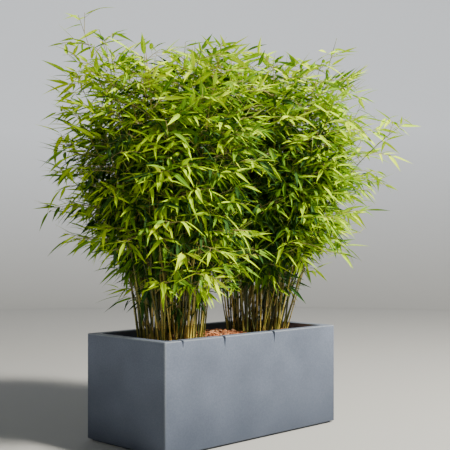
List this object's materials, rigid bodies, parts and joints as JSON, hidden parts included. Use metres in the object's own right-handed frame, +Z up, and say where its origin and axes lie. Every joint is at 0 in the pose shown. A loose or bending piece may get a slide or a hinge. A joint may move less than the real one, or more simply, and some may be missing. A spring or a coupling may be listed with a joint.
{
  "type": "potted bamboo",
  "caption": "Clumping bamboo with arching leafy canes, growing through bark mulch in a long rectangular stone-grey planter.",
  "frame": {"origin": "centre of the planter's flat underside", "axes": "+Z up, +X along the planter's long side to the right as seen from the front, +Y to the back; the front is the long side with the notched rim"},
  "size_m": [1.8112, 1.1556, 1.772],
  "materials": {
    "planter": "smooth matt grey fibre-cement with a faint mottle",
    "bark": "rough red-brown bark chips over planting mix",
    "cane": "satin olive-yellow canes with pale papery sheaths",
    "foliage": "satin yellow-green leaves on thin brownish twigs"
  },
  "bodies": {
    "root": {"planter": "planter", "bark_and_soil": "bark", "canes_left_middle": "cane", "canes_left_1": "cane", "canes_left_2": "cane", "canes_left_3": "cane", "canes_left_4": "cane", "canes_left_5": "cane", "canes_left_6": "cane", "canes_right_middle": "cane", "canes_right_1": "cane", "canes_right_2": "cane", "canes_right_3": "cane", "canes_right_4": "cane", "canes_right_5": "cane", "canes_right_6": "cane", "foliage_left_top_1": "foliage", "foliage_left_top_2": "foliage", "foliage_left_top_3": "foliage", "foliage_left_1_high": "foliage", "foliage_left_1_mid": "foliage", "foliage_left_1_low": "foliage", "foliage_left_2_high": "foliage", "foliage_left_2_mid": "foliage", "foliage_left_2_low": "foliage", "foliage_left_3_high": "foliage", "foliage_left_3_mid": "foliage", "foliage_left_3_low": "foliage", "foliage_left_4_high": "foliage", "foliage_left_4_mid": "foliage", "foliage_left_4_low": "foliage", "foliage_left_5_high": "foliage", "foliage_left_5_mid": "foliage", "foliage_left_5_low": "foliage", "foliage_left_6_high": "foliage", "foliage_left_6_mid": "foliage", "foliage_left_6_low": "foliage", "foliage_right_top_1": "foliage", "foliage_right_top_2": "foliage", "foliage_right_top_3": "foliage", "foliage_right_1_high": "foliage", "foliage_right_1_mid": "foliage", "foliage_right_1_low": "foliage", "foliage_right_2_high": "foliage", "foliage_right_2_mid": "foliage", "foliage_right_2_low": "foliage", "foliage_right_3_high": "foliage", "foliage_right_3_mid": "foliage", "foliage_right_3_low": "foliage", "foliage_right_4_high": "foliage", "foliage_right_4_mid": "foliage", "foliage_right_4_low": "foliage", "foliage_right_5_high": "foliage", "foliage_right_5_mid": "foliage", "foliage_right_5_low": "foliage", "foliage_right_6_high": "foliage", "foliage_right_6_mid": "foliage", "foliage_right_6_low": "foliage"}
  },
  "joints": []
}
